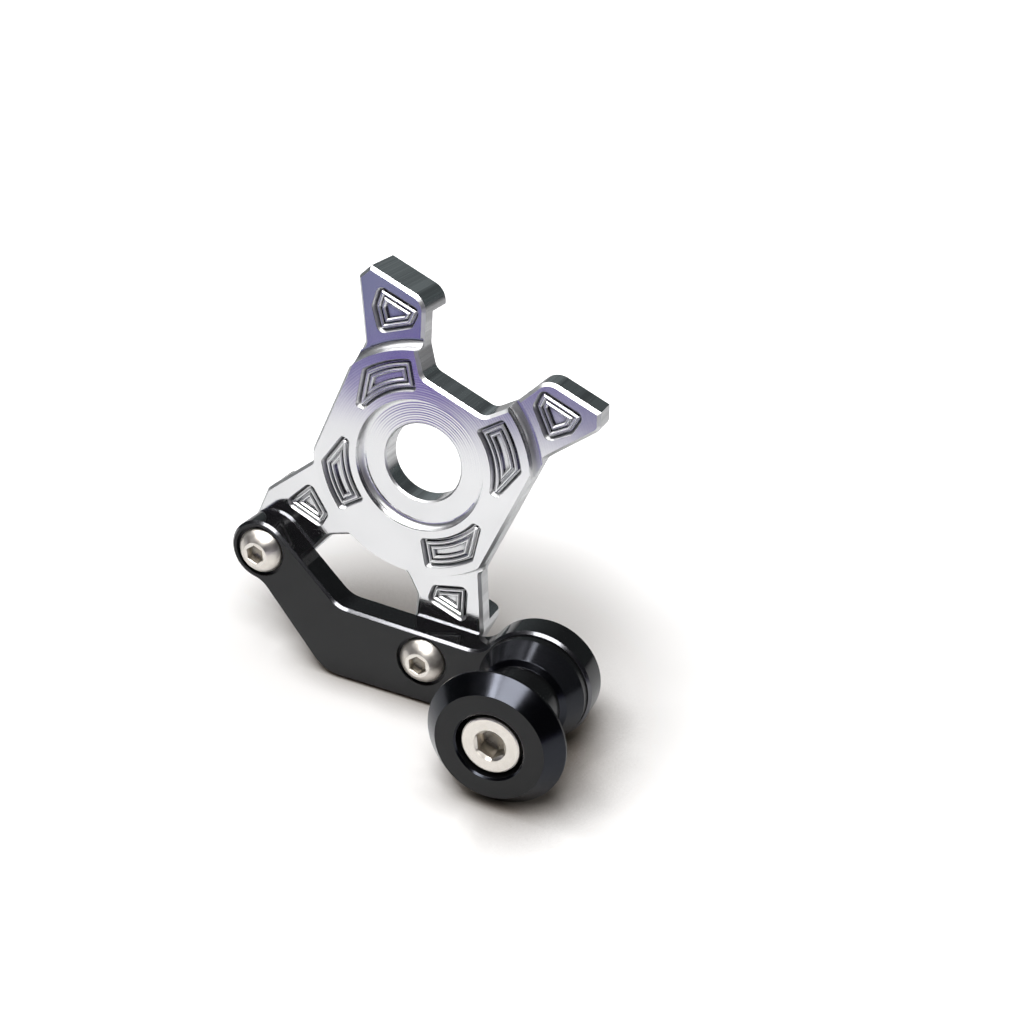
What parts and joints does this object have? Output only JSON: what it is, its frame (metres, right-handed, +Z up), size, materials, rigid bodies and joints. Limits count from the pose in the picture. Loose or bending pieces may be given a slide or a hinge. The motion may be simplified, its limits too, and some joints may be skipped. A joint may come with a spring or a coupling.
{
  "type": "motorcycle swingarm spool",
  "caption": "Bolt-on motorcycle swingarm spool: a bright machined axle plate with hooked arms carries a black bent bracket and a waisted spool for a paddock stand.",
  "frame": {"origin": "centre of the axle bore, in the flat back face of the axle plate that seats on the swingarm", "axes": "+X along the swingarm from the plate towards the spool, +Y along the axle towards the wheel, +Z up between the upper arms"},
  "size_m": [0.0946, 0.0447, 0.0928],
  "materials": {
    "bright_aluminium": "bright milled with fine cutter marks",
    "black_anodised": "satin black anodised with bright cut edges",
    "black_spool": "satin black anodised, turned",
    "stainless": "stainless screws"
  },
  "bodies": {
    "root": {"axle_plate": "bright_aluminium", "bracket_arm": "black_anodised", "spool": "black_spool", "spool_bolt": "stainless", "bracket_screw_front": "stainless", "bracket_screw_rear": "stainless"}
  },
  "joints": []
}
